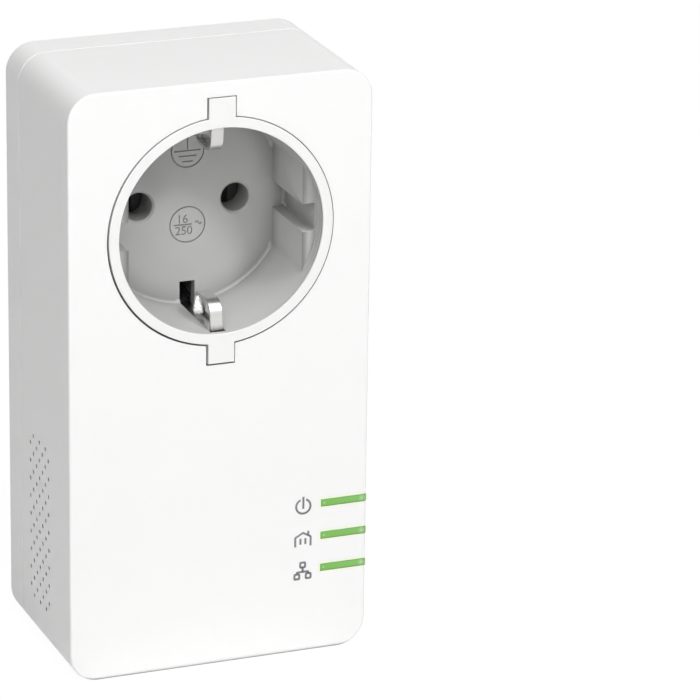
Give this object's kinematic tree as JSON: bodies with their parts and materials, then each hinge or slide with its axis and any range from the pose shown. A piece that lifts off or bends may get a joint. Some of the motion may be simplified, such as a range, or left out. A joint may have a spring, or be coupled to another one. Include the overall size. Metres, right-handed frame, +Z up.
{
  "type": "powerline adapter",
  "caption": "Mains plug-in network adapter: a slim box with a round recessed mains socket in front, plug pins behind and a network port below.",
  "frame": {"origin": "centre of the plug's engagement face, halfway between the two pins", "axes": "+Z up, along the case's length; +Y out of the back, along the plug's pins; -Y out of the front, where the socket is; +X to the right seen from the front"},
  "size_m": [0.0584, 0.0735, 0.1135],
  "materials": {
    "white_plastic": "satin moulded plastic",
    "cup_plastic": "satin moulded plastic",
    "dark_plastic": "moulded plastic",
    "steel": "zinc plated",
    "nickel": "nickel plated, satin",
    "brass": "rolled brass",
    "brown_sleeve": "wire insulation",
    "blue_sleeve": "wire insulation",
    "light_green": "translucent plastic",
    "lamp_white": "moulded lamp package",
    "board_green": "solder mask on glass fibre board",
    "chip_black": "moulded resin",
    "aluminium": "anodised",
    "ferrite": "sintered ferrite",
    "winding_yellow": "tape and resin",
    "capacitor_sleeve": "shrink sleeve",
    "choke_green": "lacquered winding",
    "fuse_ceramic": "ceramic",
    "varistor_blue": "lacquer"
  },
  "bodies": {
    "case": {"front_cover": "white_plastic", "rear_cover": "white_plastic", "case_screws": "steel", "socket_collar": "white_plastic", "socket_cup": "cup_plastic", "shutter_spring": "steel", "contact_carrier": "cup_plastic", "carrier_screws": "steel", "line_contact": "brass", "neutral_contact": "brass", "socket_earth_strap": "nickel", "plug_body": "white_plastic", "line_pin": "nickel", "neutral_pin": "nickel", "plug_earth_strap": "nickel", "line_lead": "brown_sleeve", "neutral_lead": "blue_sleeve", "power_light_bar": "light_green", "link_light_bar": "light_green", "network_light_bar": "light_green", "status_leds": "lamp_white", "main_board": "board_green", "processor": "chip_black", "heat_sink": "aluminium", "memory_chips": "chip_black", "clock_crystal": "steel", "ethernet_transformer": "chip_black", "ethernet_jack_shield": "steel", "ethernet_jack_housing": "dark_plastic", "ethernet_jack_contacts": "brass", "pair_switch": "dark_plastic", "board_connector": "dark_plastic", "board_screws": "steel", "power_board": "board_green", "transformer_core": "ferrite", "transformer_bobbin": "winding_yellow", "bulk_capacitors": "capacitor_sleeve", "output_capacitor": "capacitor_sleeve", "filter_capacitor": "winding_yellow", "line_choke": "choke_green", "fuse": "fuse_ceramic", "varistor": "varistor_blue", "bridge_rectifier": "chip_black", "optocoupler": "chip_black", "coupling_transformer": "chip_black"},
    "shutter": {"safety_shutter": "dark_plastic"},
    "button": {"pair_button": "white_plastic", "pair_switch_plunger": "dark_plastic"}
  },
  "joints": [
    {"name": "shutter_turn", "type": "hinge", "parent": "case", "child": "shutter", "pos_m": [0, -0.029, 0], "axis": [0, -1, 0], "range_deg": [0, 38], "stiffness_Nm_per_rad": 0.005, "springref_deg": -20.05, "deforming": ["shutter_spring"]},
    {"name": "pair_button_press", "type": "slide", "parent": "case", "child": "button", "axis": [0, 0, 1], "range_m": [0, 0.0005], "stiffness_N_per_m": 800, "springref_m": -0.0005}
  ]
}
